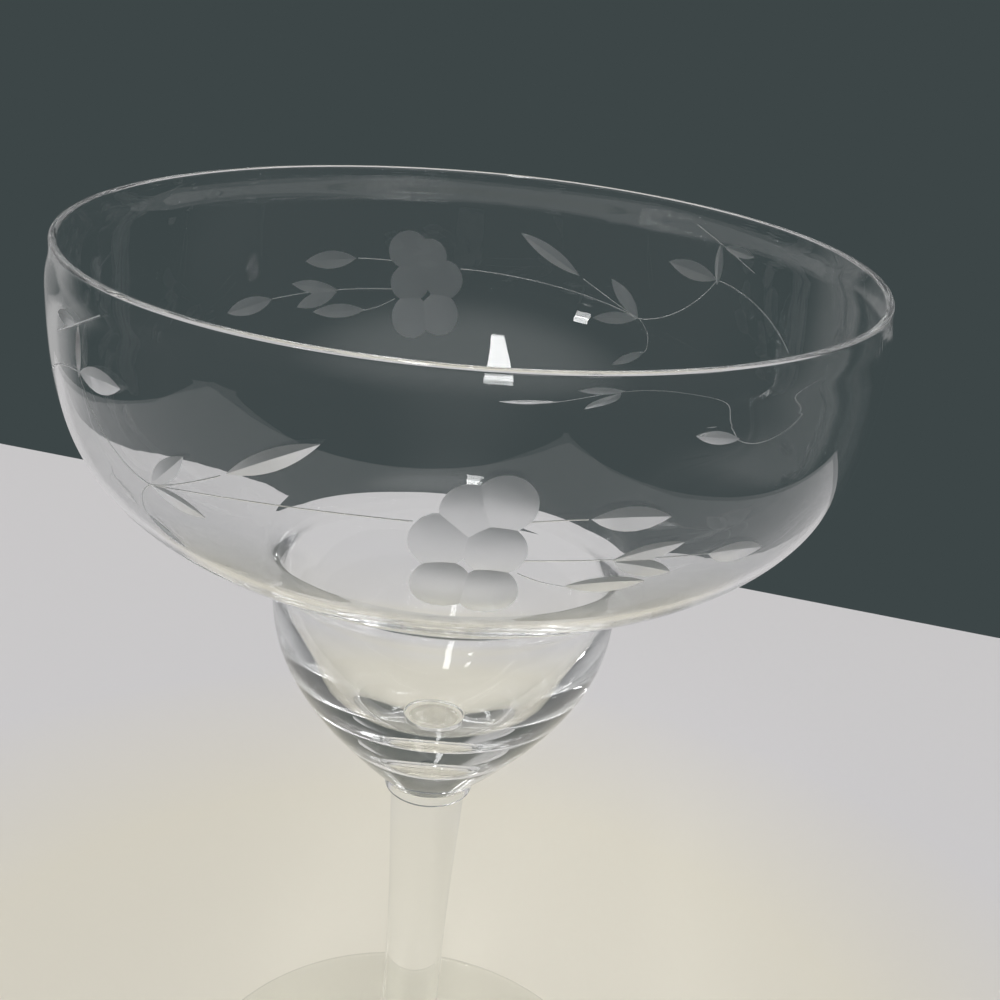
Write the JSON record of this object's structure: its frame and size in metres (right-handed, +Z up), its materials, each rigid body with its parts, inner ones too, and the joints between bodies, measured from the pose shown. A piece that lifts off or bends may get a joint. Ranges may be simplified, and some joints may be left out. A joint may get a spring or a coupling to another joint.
{
  "type": "margarita glass",
  "caption": "Stemmed margarita glass of clear glass: a wide shallow bowl stepping in to a small lower cup, on a wafer collar, a slim stem and a flat round foot.",
  "frame": {"origin": "centre of the foot's underside, on the surface that the glass stands on", "axes": "+Z up along the stem's axis, from the foot to the rim"},
  "size_m": [0.1154, 0.1154, 0.161],
  "materials": {
    "bowl_glass": "clear polished glass with a grey-cut decoration outside",
    "collar_glass": "clear polished glass",
    "stem_glass": "clear polished glass",
    "foot_glass": "clear polished glass"
  },
  "bodies": {
    "root": {"bowl": "bowl_glass", "collar": "collar_glass", "stem": "stem_glass", "foot": "foot_glass"}
  },
  "joints": []
}
